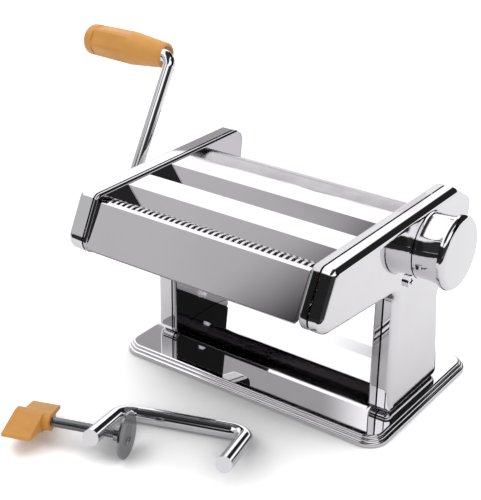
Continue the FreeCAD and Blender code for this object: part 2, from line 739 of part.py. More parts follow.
def make_sheets():
    lean = S.face_lean
    drop = S.face_drop
    middle = [
        (S.middle_front_y - lean, S.guard_top_z - drop),
        (S.middle_front_y, S.guard_top_z),
        (S.middle_rear_y, S.guard_top_z),
        (S.middle_rear_y + S.guard_hem / 4, S.guard_top_z - S.guard_hem),
    ]
    piece(bent_sheet("middle_guard_sheet", middle, S.inner_half), "middle_guard")
    foot_y = S.rear_guard_front_y - lean
    foot_z = S.guard_top_z - drop
    rear = [
        (foot_y - S.feed_lip, foot_z - S.feed_drop),
        (foot_y, foot_z),
        (S.rear_guard_front_y, S.guard_top_z),
        (S.rear_guard_rear_y, S.guard_top_z),
        (S.rear_guard_rear_y + S.guard_hem / 2, S.guard_top_z - S.guard_hem),
    ]
    piece(bent_sheet("rear_guard_sheet", rear, S.inner_half), "rear_guard")
    hopper = [
        (S.hopper_low_y, S.hopper_low_z),
        (S.hopper_ridge_y, S.hopper_ridge_z),
        (S.apron_y, S.apron_top_z),
        (S.apron_y, S.apron_low_z),
    ]
    piece(bent_sheet("hopper_sheet", hopper, S.inner_half), "hopper_plate")
    front = [
        (S.plate_low_y + S.plate_hem, S.plate_low_z),
        (S.plate_low_y, S.plate_low_z),
        (S.plate_top_y, S.plate_top_z),
        (S.plate_top_y + S.plate_lip, S.plate_top_z),
    ]
    sheet = bent_sheet("front_sheet", front, S.front_plate_half)
    ears = []
    slope = (S.plate_top_y - S.plate_low_y) / (S.plate_top_z - S.plate_low_z)
    inset = S.bend_round * 2
    run = inset * slope
    ear_points = [
        (S.plate_low_y + run + S.ear_setback, S.plate_low_z + inset),
        (S.plate_low_y + run + S.sheet, S.plate_low_z + inset),
        (S.plate_top_y - run + S.sheet, S.plate_top_z - inset),
        (S.plate_top_y - run + S.ear_setback, S.plate_top_z - inset),
    ]
    for side in (-1, 1):
        flat = DOC.addObject("Sketcher::SketchObject", "ear_outline_{}".format(side + 1))
        flat.Placement = FreeCAD.Placement(FreeCAD.Vector(), FreeCAD.Rotation(FreeCAD.Vector(1, 1, 1), 120))
        draw_outline(flat, ear_points)
        ear = DOC.addObject("Part::Extrusion", "ear_{}".format(side + 1))
        ear.Base = flat
        ear.DirMode = "Custom"
        ear.Dir = FreeCAD.Vector(1, 0, 0)
        ear.Solid = True
        overlap = S.sheet
        bind(ear, "LengthFwd", S.inner_half - S.front_plate_half + overlap)
        start = S.front_plate_half - overlap if side > 0 else -S.inner_half
        place(ear, start)
        ears.append(ear)
    piece(fuse("front_plate_folded", [sheet] + ears), "front_plate")


# Rollers, cutters and their gears

def crank_socket(name, y, z):
    """The bore that takes the crank, with a cross slot at its mouth for the crank's pin."""
    bore = cylinder(name + "_bore", S.socket_radius, S.socket_depth, -SOCKET_END, y, z)
    slot_depth = S.socket_depth / 4
    slot_width = S.socket_radius * 0.7
    slot_length = S.socket_journal * 2.2
    corner = (-SOCKET_END, y - slot_width / 2, z - slot_length / 2)
    slot = block(name + "_slot", slot_depth, slot_width, slot_length, *corner)
    return [bore, slot]


def make_smooth_rollers():
    face = S.inner_half - S.end_gap
    barrel = cylinder("drive_barrel", ROLLER_RADIUS, face * 2, -face, DRIVE_Y, DRIVE_Z)
    left = cylinder("drive_left", S.socket_journal, SOCKET_END - face, -SOCKET_END, DRIVE_Y, DRIVE_Z)
    right = cylinder("drive_right", S.journal_radius, BUSH_END - face, face, DRIVE_Y, DRIVE_Z)
    solid = fuse("drive_solid", [barrel, left, right])
    piece(cut("drive_turned", solid, crank_socket("drive_socket", DRIVE_Y, DRIVE_Z)), "drive_roller")
    barrel = cylinder("front_barrel", ROLLER_RADIUS, face * 2, -face, S.roller_y, S.roller_z)
    gear_end = GEAR_X + S.gear_width
    left = cylinder("front_left", S.journal_radius, gear_end - face, -gear_end, S.roller_y, S.roller_z)
    right = cylinder("front_right", S.journal_radius, ROCKER_END - face, face, S.roller_y, S.roller_z)
    piece(fuse("front_turned", [barrel, left, right]), "front_roller")


def make_gear(label, teeth, pitch_radius, addendum, dedendum, tip, root, bore, x, y, z, phase):
    """A spur gear along X: a root disc and one straight-sided tooth, repeated round it."""
    body = new_body(label)
    disc = new_sketch(body, label + "_disc", "YZ_Plane")
    root_radius = pitch_radius - dedendum
    draw_circle(disc, root_radius)
    draw_circle(disc, bore)
    pad(body, disc, S.gear_width)
    tooth = new_sketch(body, label + "_tooth", "YZ_Plane")
    foot = root_radius - S.sheet
    crest = pitch_radius + addendum
    points = [(foot, -root / 2), (crest, -tip / 2), (crest, tip / 2), (foot, root / 2)]
    draw_outline(tooth, points)
    first = pad(body, tooth, S.gear_width)
    ring = body.newObject("PartDesign::PolarPattern", label + "_ring")
    ring.Originals = [first]
    for feature in body.Origin.OriginFeatures:
        if feature.Role == "X_Axis":
            ring.Axis = (feature, [""])
    ring.Angle = 360
    bind(ring, "Occurrences", teeth)
    body.Tip = ring
    body.Placement = FreeCAD.Placement(FreeCAD.Vector(), FreeCAD.Rotation(FreeCAD.Vector(1, 0, 0), phase))
    place(body, x, y, z)


def make_gears():
    pitch_angle = 360 / S.gear_teeth.value
    toward = -S.roller_slant.value
    form = (S.gear_teeth, S.gear_pitch_radius, S.gear_addendum, S.gear_dedendum, S.tooth_tip, S.tooth_root)
    bore = S.journal_radius + S.seat_clearance
    left_x = -GEAR_X - S.gear_width
    make_gear("front_gear", *form, bore, left_x, S.roller_y, S.roller_z, toward + S.mesh_lead.value)
    big_bore = S.socket_journal + S.seat_clearance
    make_gear("drive_gear", *form, big_bore, left_x, DRIVE_Y, DRIVE_Z, toward + 180 + pitch_angle / 2)
    form = (
        S.cutter_gear_teeth, S.cutter_gear_radius, S.cutter_addendum, S.cutter_dedendum,
        S.cutter_tooth_tip, S.cutter_tooth_root,
    )
    pitch_angle = 360 / S.cutter_gear_teeth.value
    toward = 180 - S.cutter_slant.value
    right_x = BUSH_END + S.rocker_gap
    pairs = (
        ("wide", S.wide_driver_y, S.wide_driver_z, WIDE_Y, WIDE_Z),
        ("thin", S.thin_driver_y, S.thin_driver_z, THIN_Y, THIN_Z),
    )
    for name, drive_y, drive_z, idle_y, idle_z in pairs:
        make_gear(name + "_driver_gear", *form, bore, right_x, drive_y, drive_z, toward)
        phase = toward + 180 + pitch_angle / 2
        make_gear(name + "_follower_gear", *form, bore, right_x, idle_y, idle_z, phase)


def make_cutter(label, y, z, pitch, disc, shift, driven):
    """A cutter roller: a core with equal discs along it, and a journal at each end."""
    body = new_body(label)
    face = S.inner_half - S.end_gap
    core = new_sketch(body, label + "_core", "YZ_Plane", -face)
    draw_circle(core, S.cutter_radius - S.groove_depth)
    pad(body, core, face * 2)
    gear_end = BUSH_END + S.rocker_gap + S.gear_width
    right = new_sketch(body, label + "_right", "YZ_Plane", face)
    draw_circle(right, S.journal_radius)
    pad(body, right, gear_end - face)
    left_end = SOCKET_END if driven else BUSH_END
    left = new_sketch(body, label + "_left", "YZ_Plane", -face)
    draw_circle(left, S.socket_journal if driven else S.journal_radius)
    pad(body, left, left_end - face, reverse=True)
    if driven:
        mouth = new_sketch(body, label + "_socket", "YZ_Plane", -SOCKET_END)
        draw_circle(mouth, S.socket_radius)
        drill(body, mouth, S.socket_depth * 2)
        slot = new_sketch(body, label + "_slot", "YZ_Plane", -SOCKET_END)
        half = S.socket_radius * 0.35
        reach = S.socket_journal * 1.1
        draw_outline(slot, [(-half, -reach), (half, -reach), (half, reach), (-half, reach)])
        drill(body, slot, S.socket_depth / 2)
    count = whole((face * 2 - disc - pitch / 2) / pitch) + 1
    span = pitch * (count - 1)
    start = -span / 2 + shift - disc / 2
    ring = new_sketch(body, label + "_disc", "YZ_Plane", start)
    draw_circle(ring, S.cutter_radius)
    first = pad(body, ring, disc)
    row = body.newObject("PartDesign::LinearPattern", label + "_row")
    row.Originals = [first]
    for feature in body.Origin.OriginFeatures:
        if feature.Role == "X_Axis":
            row.Direction = (feature, [""])
    bind(row, "Length", span)
    bind(row, "Occurrences", count)
    body.Tip = row
    lean = FreeCAD.Rotation(FreeCAD.Vector(1, 0, 0), -S.arm_lean.value)
    body.Placement = FreeCAD.Placement(FreeCAD.Vector(), lean)
    place(body, ZERO, y, z)


def make_cutters():
    quarter = S.wide_pitch / 4
    wide = (S.wide_pitch, S.wide_disc)
    make_cutter("wide_cutter_driver", S.wide_driver_y, S.wide_driver_z, *wide, -quarter, True)
    make_cutter("wide_cutter_follower", WIDE_Y, WIDE_Z, *wide, quarter, False)
    quarter = S.thin_pitch / 4
    thin = (S.thin_pitch, S.thin_disc)
    make_cutter("thin_cutter_driver", S.thin_driver_y, S.thin_driver_z, *thin, -quarter, True)
    make_cutter("thin_cutter_follower", THIN_Y, THIN_Z, *thin, quarter, False)


# Gap adjuster: rockers that carry the front roller, a snail cam and the knob

LEVER_Y = S.knob_y - S.pivot_y
LEVER_Z = S.knob_z - S.pivot_z
LEVER = root(LEVER_Y * LEVER_Y + LEVER_Z * LEVER_Z)
FOLLOWER_Y = S.knob_y + S.follower_reach * LEVER_Z / LEVER
FOLLOWER_Z = S.knob_z - S.follower_reach * LEVER_Y / LEVER


def make_rocker(label, side):
    """A flat arm from the pivot to the roller, with the cam pin on the knob side."""
    start = ROCKER_X if side > 0 else -ROCKER_END
    boss = S.journal_radius * 2
    hub = cylinder(label + "_hub", boss, S.rocker_thickness, start, S.pivot_y, S.pivot_z)
    eye = cylinder(label + "_eye", boss, S.rocker_thickness, start, S.roller_y, S.roller_z)
    solids = [hub, eye]
    outline = [(S.pivot_y, S.pivot_z - boss), (S.roller_y, S.roller_z - boss)]
    outline += [(S.roller_y, S.roller_z + boss), (S.pivot_y, S.pivot_z + boss)]
    if side > 0:
        toe = S.follower_radius * 2
        pin_length = S.rocker_thickness + S.rocker_gap + S.cam_width
        solids.append(cylinder(label + "_toe", toe, S.rocker_thickness, start, FOLLOWER_Y, FOLLOWER_Z))
        solids.append(cylinder(label + "_pin", S.follower_radius, pin_length, start, FOLLOWER_Y, FOLLOWER_Z))
        outline = outline[:1] + [(FOLLOWER_Y, FOLLOWER_Z - toe), (FOLLOWER_Y + toe, FOLLOWER_Z)] + outline[2:]
    flat = DOC.addObject("Sketcher::SketchObject", label + "_outline")
    flat.Placement = FreeCAD.Placement(FreeCAD.Vector(), FreeCAD.Rotation(FreeCAD.Vector(1, 1, 1), 120))
    draw_outline(flat, outline)
    web = DOC.addObject("Part::Extrusion", label + "_web")
    web.Base = flat
    web.DirMode = "Custom"
    web.Dir = FreeCAD.Vector(1, 0, 0)
    web.Solid = True
    bind(web, "LengthFwd", S.rocker_thickness)
    place(web, start)
    solids.append(web)
    arm = fuse(label + "_arm", solids)
    pivot_bore = S.pivot_radius + S.running_clearance
    pivot = cylinder(label + "_pivot", pivot_bore, S.rocker_thickness, start, S.pivot_y, S.pivot_z)
    bearing = S.journal_radius + S.running_clearance
    eye_hole = cylinder(label + "_bore", bearing, S.rocker_thickness, start, S.roller_y, S.roller_z)
    piece(cut(label + "_drilled", arm, [pivot, eye_hole]), label)


def make_cam():
    """Snail cam: its radius grows evenly over the knob's turn and drops back behind it."""
    low = S.follower_reach.value - S.follower_radius.value - S.loose_clearance.value
    turn = S.knob_turn.value
    steps = 24
    facing = math.degrees(math.atan2(FOLLOWER_Z.value - S.knob_z.value, FOLLOWER_Y.value - S.knob_y.value))
    spots = []
    for step in range(steps + 1):
        angle = math.radians(facing - turn * step / steps)
        radius = low + S.cam_rise.value * step / steps - S.cam_rise.value * 0.15
        spots.append(FreeCAD.Vector(0, radius * math.cos(angle), radius * math.sin(angle)))
    spiral = Part.BSplineCurve()
    spiral.interpolate(spots)
    back = Part.LineSegment(spots[-1], spots[0])
    wire = Part.Wire([spiral.toShape(), back.toShape()])
    disc = Part.Face(wire).extrude(FreeCAD.Vector(S.cam_width.value, 0, 0))
    bore = Part.makeCylinder(
        S.spindle_radius.value + S.seat_clearance.value, S.cam_width.value,
        FreeCAD.Vector(0, 0, 0), FreeCAD.Vector(1, 0, 0))
    cam = DOC.addObject("Part::Feature", "gap_cam")
    cam.Shape = disc.cut(bore)
    cam.Placement = FreeCAD.Placement(FreeCAD.Vector(), FreeCAD.Rotation())
    place(cam, ROCKER_END + S.rocker_gap, S.knob_y, S.knob_z)
    piece(cam, "gap_cam")


KNOB_X = COVER_HALF + S.knob_gap
KNOB_END = KNOB_X + S.knob_length
HUB_X = KNOB_X + S.hub_setback
HUB_END = HUB_X + S.hub_thickness
CLIP_X = HUB_END + S.knob_pull + S.spring_room


def make_knob():
    start = ROCKER_END + S.rocker_gap
    collar = cylinder("spindle_collar", S.spindle_radius, HUB_X - start, start, S.knob_y, S.knob_z)
    neck_length = CLIP_X + S.clip_thickness - HUB_X
    neck = cylinder("spindle_neck_bar", S.spindle_neck, neck_length, HUB_X, S.knob_y, S.knob_z)
    clip = cylinder("spindle_clip", S.clip_radius, S.clip_thickness, CLIP_X, S.knob_y, S.knob_z)
    piece(fuse("spindle_turned", [collar, neck, clip]), "knob_spindle")
    bush_outer = S.spindle_radius + S.running_clearance + S.bush_wall
    bush_x = COVER_HALF - S.bush_length
    bush_bore = S.spindle_radius + S.running_clearance
    bush = tube("knob_sleeve", bush_outer, bush_bore, S.bush_length, bush_x, S.knob_y, S.knob_z)
    piece(bush, "knob_bush")
    spring = tube(
        "spring_sleeve", S.clip_radius - S.spring_step, S.spindle_neck + S.loose_clearance,
        CLIP_X - HUB_END, HUB_END, S.knob_y, S.knob_z)
    piece(spring, "knob_spring")
    body = new_body("knob")
    profile = new_sketch(body, "knob_profile", "XZ_Plane")
    bore = S.spindle_neck + S.running_clearance
    skirt = S.knob_base_radius - S.knob_shell
    hub_far = HUB_END - KNOB_X
    hub_near = HUB_X - KNOB_X
    well = S.clip_radius + S.loose_clearance * 3
    rim_start = S.knob_length - S.rim_width
    groove_end = rim_start + S.rim_groove
    groove_floor = S.knob_waist - S.rim_groove
    floor = S.knob_length - S.knob_shell
    points = [
        (hub_near, bore), (hub_near, skirt), (ZERO, skirt), (ZERO, S.knob_lip_radius),
        (S.knob_lip, S.knob_lip_radius), (S.knob_lip, S.knob_base_radius), (rim_start, S.knob_waist),
        (rim_start, groove_floor), (groove_end, groove_floor), (groove_end, S.knob_rim_radius),
        (S.knob_length - S.rim_round, S.knob_rim_radius), (S.knob_length, S.knob_rim_radius - S.rim_round),
        (S.knob_length, ZERO), (floor, ZERO), (floor, well), (hub_far, well), (hub_far, bore),
    ]
    draw_outline(profile, points, {5: (S.knob_flare, True), 10: (S.rim_round, False)})
    revolve(body, profile)
    place(body, KNOB_X, S.knob_y, S.knob_z)


# Crank and grip

ARM_X = -COVER_HALF - S.arm_offset
GRIP_X = ARM_X - S.crank_rod - S.loose_clearance
GRIP_Y = S.wide_driver_y + S.arm_length * sine(S.arm_lean)
GRIP_Z = S.wide_driver_z + S.arm_length * cosine(S.arm_lean)


def make_crank():
    body = new_body("crank_arm")
    tip_x = -SOCKET_END + S.socket_depth - S.tip_clearance
    bend = S.crank_bend
    far_x = GRIP_X - S.grip_length + S.grip_wall
    path = new_sketch(body, "crank_path", "XZ_Plane")
    points = [
        (tip_x, ZERO), (ARM_X + bend, ZERO), (ARM_X, bend), (ARM_X, S.arm_length - bend),
        (ARM_X - bend, S.arm_length), (far_x, S.arm_length),
    ]
    draw_outline(path, points, {1: (bend, False), 3: (bend, True)}, closed=False)
    ring = new_sketch(body, "crank_section", "YZ_Plane", tip_x)
    draw_circle(ring, S.crank_rod)
    DOC.recompute()
    rod = body.newObject("PartDesign::AdditivePipe", "crank_rod_pipe")
    rod.Profile = ring
    rod.Spine = (path, ["Edge{}".format(number) for number in range(1, len(points))])
    rod.Mode = "Standard"
    key = new_sketch(body, "crank_key", "XY_Plane")
    key_half = S.socket_radius * 0.3
    key_x = -SOCKET_END + S.socket_depth / 8
    draw_circle(key, key_half, key_x, ZERO)
    pad(body, key, S.socket_journal * 2 - S.key_setback, both=True)
    body.Placement = FreeCAD.Placement(
        FreeCAD.Vector(), FreeCAD.Rotation(FreeCAD.Vector(1, 0, 0), -S.arm_lean.value))
    place(body, ZERO, S.wide_driver_y, S.wide_driver_z)


def make_grip():
    body = new_body("crank_grip")
    profile = new_sketch(body, "grip_profile", "XZ_Plane")
    mouth_depth = S.crank_bend
    bore_end = S.grip_length - S.grip_wall + S.tip_clearance
    round_end = S.grip_cap * 0.6
    points = [
        (ZERO, S.grip_mouth), (ZERO, S.grip_arm_radius - S.grip_lip), (-S.grip_lip, S.grip_arm_radius),
        (-S.grip_belly, S.grip_belly_radius), (-S.grip_length + S.grip_cap, S.grip_end_radius),
        (-S.grip_length + round_end, S.grip_end_radius), (-S.grip_length, S.grip_end_radius - round_end),
        (-S.grip_length, ZERO), (-bore_end, ZERO), (-bore_end, S.grip_bore), (-mouth_depth, S.grip_bore),
        (-mouth_depth, S.grip_mouth),
    ]
    draw_outline(profile, points, {5: (round_end, True)})
    turned = revolve(body, profile)
    facet = new_sketch(body, "grip_facet", "XZ_Plane")
    outside = S.grip_belly_radius + S.facet_margin
    near = -S.grip_belly - S.facet_margin
    far = -S.grip_length + S.grip_cap + S.facet_margin
    floor_near = S.grip_belly_radius - S.facet_depth
    floor_far = S.grip_end_radius - S.facet_depth
    draw_outline(facet, [(near, floor_near), (near, outside), (far, outside), (far, floor_far)])
    slot = body.newObject("PartDesign::Pocket", "grip_facet_cut")
    slot.Profile = facet
    bind(slot, "Length", S.facet_width)
    slot.SideType = "Symmetric"
    ring = body.newObject("PartDesign::PolarPattern", "grip_facets")
    ring.Originals = [slot]
    for feature in body.Origin.OriginFeatures:
        if feature.Role == "X_Axis":
            ring.Axis = (feature, [""])
    ring.Angle = 360
    bind(ring, "Occurrences", S.facet_count)
    body.Tip = ring
    place(body, GRIP_X, GRIP_Y, GRIP_Z)


# Table clamp, lying in front of the machine. Its own frame: x along the bar, -y along the arms.

def lay_clamp(thing):
    turn = FreeCAD.Rotation(FreeCAD.Vector(0, 0, 1), S.clamp_yaw.value)
    tip_up = FreeCAD.Rotation(FreeCAD.Vector(1, 0, 0), -S.clamp_tilt.value)
    thing.Placement = FreeCAD.Placement(FreeCAD.Vector(), turn.multiply(tip_up))
    place(thing, S.clamp_x, S.clamp_y, S.clamp_rod)


def make_clamp_bar():
    body = new_body("clamp_bar")
    path = new_sketch(body, "clamp_path", "XY_Plane")
    bend = S.clamp_bend
    points = [
        (ZERO, -S.long_arm), (ZERO, -bend), (bend, ZERO), (S.clamp_span - bend, ZERO),
        (S.clamp_span, -bend), (S.clamp_span, -S.short_arm),
    ]
    draw_outline(path, points, {1: (bend, False), 3: (bend, False)}, closed=False)
    ring = new_sketch(body, "clamp_section", "XZ_Plane", S.long_arm)
    draw_circle(ring, S.clamp_rod)
    DOC.recompute()
    rod = body.newObject("PartDesign::AdditivePipe", "clamp_rod_pipe")
    rod.Profile = ring
    rod.Spine = (path, ["Edge{}".format(number) for number in range(1, len(points))])
    rod.Mode = "Standard"
    tap = new_sketch(body, "clamp_tap", "YZ_Plane")
    draw_circle(tap, S.thread_radius + S.running_clearance, -S.screw_reach, ZERO)
    drill(body, tap, S.clamp_rod * 3)
    lay_clamp(body)


SCREW_TIP = S.disc_offset - S.dish_depth - S.disc_floor


def make_clamp_screw():
    body = new_body("clamp_screw")
    profile = new_sketch(body, "screw_profile", "XY_Plane")
    core = S.thread_radius - S.thread_depth
    start = -S.wing_offset - S.wing_width + S.wing_floor
    plain = -S.wing_offset
    finish = SCREW_TIP
    draw_outline(profile, [(start, ZERO), (finish, ZERO), (finish, core), (start, core)])
    revolve(body, profile)
    ridge = new_sketch(body, "screw_ridge", "XY_Plane")
    land = S.thread_pitch * 0.15
    half = S.thread_pitch * 0.42
    points = [
        (plain, core - S.ridge_root), (plain + half * 2, core - S.ridge_root), (plain + half * 2, core),
        (plain + half + land, S.thread_radius), (plain + half - land, S.thread_radius), (plain, core),
    ]
    draw_outline(ridge, points)
    first = body.newObject("PartDesign::Revolution", "screw_ridge_turn")
    first.Profile = ridge
    first.ReferenceAxis = (ridge, ["H_Axis"])
    first.Angle = 360
    count = whole((finish - plain) / S.thread_pitch)
    row = body.newObject("PartDesign::LinearPattern", "screw_ridges")
    row.Originals = [first]
    for feature in body.Origin.OriginFeatures:
        if feature.Role == "X_Axis":
            row.Direction = (feature, [""])
    bind(row, "Length", S.thread_pitch * (count - 1))
    bind(row, "Occurrences", count)
    body.Tip = row
    lay_at_screw(body)


def lay_at_screw(thing):
    lay_clamp(thing)
    shift = thing.Placement.Rotation.multVec(FreeCAD.Vector(0, -1, 0))
    reach = S.screw_reach
    place(thing, S.clamp_x + reach * shift.x, S.clamp_y + reach * shift.y, S.clamp_rod + reach * shift.z)


def make_clamp_disc():
    body = new_body("clamp_disc")
    profile = new_sketch(body, "disc_profile", "XY_Plane")
    face = S.disc_offset
    back = face - S.disc_sheet
    cup = face - S.dish_depth
    cup_back = cup - S.disc_sheet
    socket = S.thread_radius + S.disc_wall
    bore = S.thread_radius + S.running_clearance
    seat = SCREW_TIP + S.seat_clearance
    points = [
        (cup, ZERO), (face, S.dish_radius), (face, S.disc_radius), (back, S.disc_radius),
        (back, S.dish_radius + S.disc_sheet), (cup_back, socket), (cup_back - S.disc_socket, socket),
        (cup_back - S.disc_socket, bore), (seat, bore), (seat, ZERO),
    ]
    dish_curve = (S.dish_radius * S.dish_radius + S.dish_depth * S.dish_depth) / (S.dish_depth * 2)
    draw_outline(profile, points, {0: (dish_curve, False)})
    revolve(body, profile)
    lay_at_screw(body)


def make_wing():
    """A humped hub with a blade to each side, run along the screw."""
    body = new_body("clamp_wing")
    outline = new_sketch(body, "wing_outline", "YZ_Plane", -S.wing_offset - S.wing_width)
    hub = S.wing_hub
    reach = S.wing_reach
    points = [
        (-reach, S.wing_front_z), (-reach, S.wing_front_z - S.wing_thick), (hub * -1.35, hub * -0.65),
        (hub * -0.8, -hub), (hub * 0.8, -hub), (hub * 1.35, hub * -0.85),
        (reach, S.wing_rear_z - S.wing_thick), (reach, S.wing_rear_z), (hub * 1.2, hub * -0.1),
        (hub * 0.8, hub * 0.65), (hub * 0.25, hub), (hub * -0.5, hub),
    ]
    draw_outline(outline, points)
    blades = pad(body, outline, S.wing_width)

    def long_edge(edge):
        return edge.BoundBox.XLength > S.wing_width.value * 0.9

    round_edges(body, blades, long_edge, S.wing_round)
    collar = new_sketch(body, "wing_collar_ring", "YZ_Plane", -S.wing_offset)
    draw_circle(collar, hub)
    pad(body, collar, S.wing_collar)
    bore = new_sketch(body, "wing_bore", "YZ_Plane", -S.wing_offset)
    draw_circle(bore, S.thread_radius + S.seat_clearance)
    drill(body, bore, (S.wing_width - S.wing_floor + S.seat_clearance) * 2)
    lay_at_screw(body)
    level = FreeCAD.Rotation(FreeCAD.Vector(1, 0, 0), S.clamp_tilt.value)
    body.Placement.Rotation = body.Placement.Rotation.multiply(level)


def check_and_write():
    DOC.recompute()
    for thing in DOC.Objects:
        if "Invalid" in thing.State or "Error" in thing.State:
            raise RuntimeError("failed: {} {}".format(thing.Name, thing.State))
    os.makedirs("parts", exist_ok=True)
    for thing in PIECES:
        shape = thing.Shape
        if shape.isNull() or not shape.isValid() or not shape.Solids:
            raise RuntimeError("no sound solid in " + thing.Label)
        shape.exportStep(os.path.join("parts", thing.Label + ".step"))
        box = shape.BoundBox
        reach = (box.XMin, box.XMax, box.YMin, box.YMax, box.ZMin, box.ZMax)
        spans = " ".join("{:7.1f}".format(value) for value in reach)
        count = len(shape.Solids)
        print("{:24s} solids {:2d} volume {:10.1f} {}".format(thing.Label, count, shape.Volume, spans))


make_base()
make_feet()
make_base_fixings()
make_sides()
make_bushes()
make_rods()
make_sheets()
make_smooth_rollers()
make_gears()
make_cutters()
make_rocker("left_rocker", -1)
make_rocker("right_rocker", 1)
make_cam()
make_knob()
make_crank()
make_grip()
make_clamp_bar()
make_clamp_screw()
make_clamp_disc()
make_wing()
check_and_write()
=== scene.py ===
# %% [markdown]
# A hand-cranked pasta roller machine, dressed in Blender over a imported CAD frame. The frame brings every
# piece in metres and already in place, so this lesson is about looks: smooth polished sheet, turned steel,
# moulded plastic, and the white studio that chrome needs to look like chrome.

# %% Load the frame
import bpy
import bmesh
import json
import math
from mathutils import Matrix, Vector


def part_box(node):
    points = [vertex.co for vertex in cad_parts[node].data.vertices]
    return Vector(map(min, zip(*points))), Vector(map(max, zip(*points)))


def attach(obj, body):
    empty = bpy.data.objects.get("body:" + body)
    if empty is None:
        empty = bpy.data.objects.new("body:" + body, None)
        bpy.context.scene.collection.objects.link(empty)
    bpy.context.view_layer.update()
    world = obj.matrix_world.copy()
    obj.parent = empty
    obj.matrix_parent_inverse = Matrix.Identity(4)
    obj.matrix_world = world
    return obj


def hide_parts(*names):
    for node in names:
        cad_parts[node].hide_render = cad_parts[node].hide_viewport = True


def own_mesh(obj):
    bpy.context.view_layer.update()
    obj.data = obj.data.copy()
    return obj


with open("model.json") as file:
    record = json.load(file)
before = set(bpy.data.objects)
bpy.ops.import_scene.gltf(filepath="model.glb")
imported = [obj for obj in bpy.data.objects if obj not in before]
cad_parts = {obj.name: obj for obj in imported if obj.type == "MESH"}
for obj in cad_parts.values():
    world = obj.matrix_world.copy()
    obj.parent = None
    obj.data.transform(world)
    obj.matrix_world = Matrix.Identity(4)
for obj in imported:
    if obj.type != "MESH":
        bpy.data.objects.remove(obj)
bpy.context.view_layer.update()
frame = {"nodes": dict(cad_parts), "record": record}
BODY_OF = {node: body for body, nodes in frame["record"]["behaviour"]["bodies"].items() for node in nodes}
print("frame nodes:", len(frame["nodes"]))

# %% [markdown]
# The camera stands where the photograph was taken from. Its place and lens were worked out from straight
# edges of the machine. Euler angles would hide the small roll of the picture, so a matrix of the right, up
# and back directions turns the camera instead.

# %% Camera
AZIMUTH = math.radians(35.462)
ELEVATION = math.radians(26.005)
ROLL = math.radians(0.724)
FOCAL_PIXELS = 1208.0
IMAGE_HEIGHT = 500.0
SENSOR = 36.0
EYE = (0.37362, -0.58842, 0.41939)


def show(name, data):
    """A new object for a mesh, a lamp or a camera, linked to the scene."""
    thing = bpy.data.objects.new(name, data)
    bpy.context.scene.collection.objects.link(thing)
    return thing


ahead = math.cos(ELEVATION)
look = Vector((-math.sin(AZIMUTH) * ahead, math.cos(AZIMUTH) * ahead, -math.sin(ELEVATION)))
level = Vector((math.cos(AZIMUTH), math.sin(AZIMUTH), 0.0))
upright = level.cross(look)
right = level * math.cos(ROLL) + upright * math.sin(ROLL)
up = upright * math.cos(ROLL) - level * math.sin(ROLL)
camera = show("camera", bpy.data.cameras.new("camera"))
camera.data.sensor_width = SENSOR
camera.data.lens = FOCAL_PIXELS / IMAGE_HEIGHT * SENSOR
camera.data.clip_start = 0.05
camera.data.clip_end = 50.0
camera.matrix_world = Matrix.Translation(EYE) @ Matrix((right, up, -look)).transposed().to_4x4()
bpy.context.scene.camera = camera
bpy.context.scene.view_settings.view_transform = "Standard"
print("camera lens mm:", round(camera.data.lens, 2))

# %% [markdown]
# A finish is a sum of patterns. Its nodes could be wired one by one, but then the sum is hard to see, so a
# small class wraps a socket here, and ordinary arithmetic on it adds the Math nodes.

# %% Sockets as sums
class Wire:
    """One output socket; arithmetic on it adds Math nodes to its tree."""

    def __init__(self, tree, socket):
        self.tree = tree
        self.socket = socket

    def math(self, operation, first, second):
        return add(self.tree, "ShaderNodeMath", {"operation": operation}, {0: first, 1: second})["Value"]

    def __add__(self, other):
        return self.math("ADD", self, other)

    def __radd__(self, other):
        return self.math("ADD", other, self)

    def __sub__(self, other):
        return self.math("SUBTRACT", self, other)

    def __rsub__(self, other):
        return self.math("SUBTRACT", other, self)

    def __mul__(self, other):
        return self.math("MULTIPLY", self, other)

    def __rmul__(self, other):
        return self.math("MULTIPLY", other, self)

    def step(self, low, high):
        """0 below low, 1 above high, and a smooth rise between them."""
        settings = {"interpolation_type": "SMOOTHSTEP"}
        inputs = {"Value": self, "From Min": low, "From Max": high}
        return add(self.tree, "ShaderNodeMapRange", settings, inputs)["Result"]

    def band(self, low, full, fade, high):
        """1 from full to fade, with a smooth rise from low and a smooth fall to high."""
        return self.step(low, full) * (1.0 - self.step(fade, high))


print("sockets ready")

# %% [markdown]
# Every other node comes from one function, which takes the node's type, its settings and the values or links
# of its sockets. Square brackets on the node that it gives back pick an output.

# %% Any other node
class Added:
    """A node just added; square brackets give its outputs as wires."""

    def __init__(self, tree, node):
        self.tree = tree
        self.node = node

    def __getitem__(self, name):
        return Wire(self.tree, self.node.outputs[name])


def add(tree, kind, settings=None, inputs=None):
    node = tree.nodes.new(kind)
    for name, value in (settings or {}).items():
        setattr(node, name, value)
    for name, value in (inputs or {}).items():
        socket = node.inputs[name]
        if isinstance(value, Wire):
            tree.links.new(value.socket, socket)
        elif socket.type == "RGBA" and len(value) == 3:
            socket.default_value = (*value, 1.0)
        else:
            socket.default_value = value
    return Added(tree, node)


print("nodes ready")

# %% [markdown]
# The finishes share a few short forms: an empty material, the place of a point on its piece, noise and
# streaks, a mix of two colours, and a bump. Patterns follow Object coordinates, so that they stay on a piece
# when it moves.

# %% Patterns
def new_material(name):
    material = bpy.data.materials.new(name)
    material.use_nodes = True
    material.node_tree.nodes.clear()
    return material, material.node_tree


def close_material(tree, inputs):
    shader = add(tree, "ShaderNodeBsdfPrincipled", {}, inputs)
    add(tree, "ShaderNodeOutputMaterial", {}, {"Surface": shader["BSDF"]})


def object_place(tree):
    return add(tree, "ShaderNodeTexCoord")["Object"]


